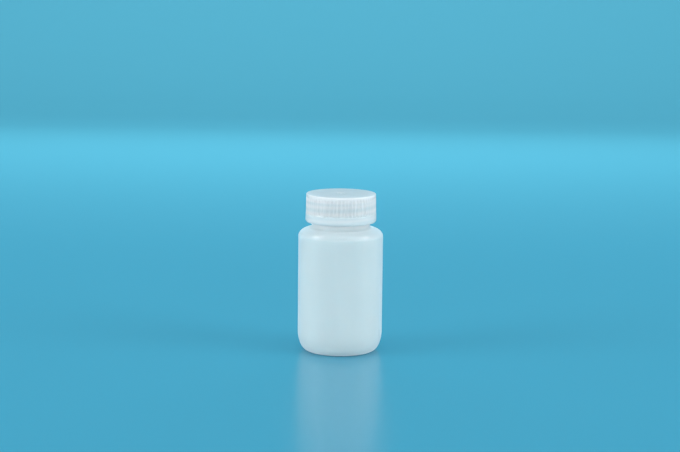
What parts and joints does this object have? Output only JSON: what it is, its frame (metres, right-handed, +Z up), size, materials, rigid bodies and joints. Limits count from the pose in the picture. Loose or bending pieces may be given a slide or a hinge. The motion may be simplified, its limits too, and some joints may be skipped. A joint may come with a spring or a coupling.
{
  "type": "reagent bottle",
  "caption": "Small wide-mouth plastic reagent bottle with a round body, a threaded neck, a ribbed screw cap and a plug seal.",
  "frame": {"origin": "centre of the base, on the surface that the bottle stands on", "axes": "+Z up along the bottle's axis; +X towards the lower start of the neck thread"},
  "size_m": [0.051, 0.051, 0.0957],
  "materials": {
    "bottle_plastic": "natural translucent polyethylene, satin",
    "cap_plastic": "natural translucent polypropylene, semi-gloss",
    "seal_plastic": "soft translucent polyethylene, satin"
  },
  "bodies": {
    "bottle": {"bottle": "bottle_plastic"},
    "seal": {"seal": "seal_plastic"},
    "cap": {"cap": "cap_plastic"}
  },
  "joints": [
    {"name": "closure_rise", "type": "slide", "parent": "bottle", "child": "seal", "axis": [0, 0, 1], "range_m": [0, 0.02117]},
    {"name": "cap_turn", "type": "hinge", "parent": "seal", "child": "cap", "pos_m": [0, 0, 0.0941], "axis": [0, 0, 1], "range_deg": [0, 1800]}
  ],
  "couplings": [
    {"joint": "closure_rise", "follows": "cap_turn", "m_per_rad": 0.00067375}
  ]
}
